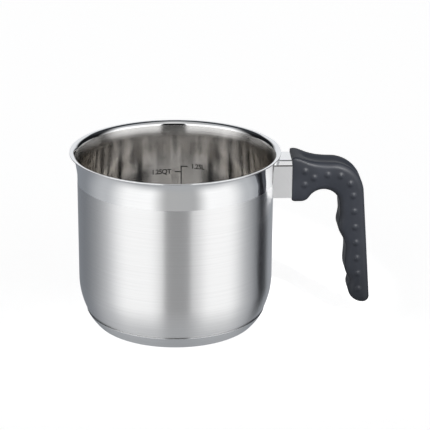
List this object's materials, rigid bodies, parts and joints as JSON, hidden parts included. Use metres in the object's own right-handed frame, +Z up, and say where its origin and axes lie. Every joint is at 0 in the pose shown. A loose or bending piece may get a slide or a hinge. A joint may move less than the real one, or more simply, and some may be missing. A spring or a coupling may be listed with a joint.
{
  "type": "milk pan",
  "caption": "Tall straight-sided steel milk pan with a flared pouring rim, a sandwich base and a drop-down moulded side grip behind a folded steel guard.",
  "frame": {"origin": "centre of the underside of the base, on the surface that the pan stands on", "axes": "+Z up along the vessel's axis, +X from the vessel's axis towards the grip, +Y across the grip"},
  "size_m": [0.2183, 0.1518, 0.1284],
  "materials": {
    "vessel_steel": "satin brushed around the wall, mirror-polished band under the rim",
    "base_steel": "satin, turned on the underside",
    "core_aluminium": "plain rolled",
    "guard_steel": "polished",
    "bracket_steel": "plain pressed sheet",
    "fastener_steel": "zinc plated",
    "grip_plastic": "matte moulded, dark slate grey"
  },
  "bodies": {
    "root": {"pan_body": "vessel_steel", "base_core": "core_aluminium", "base_cap": "base_steel", "handle_bracket": "bracket_steel", "bracket_nut": "fastener_steel", "flame_guard": "guard_steel", "handle_grip": "grip_plastic", "fixing_screw": "fastener_steel", "lock_washer": "fastener_steel"}
  },
  "joints": []
}
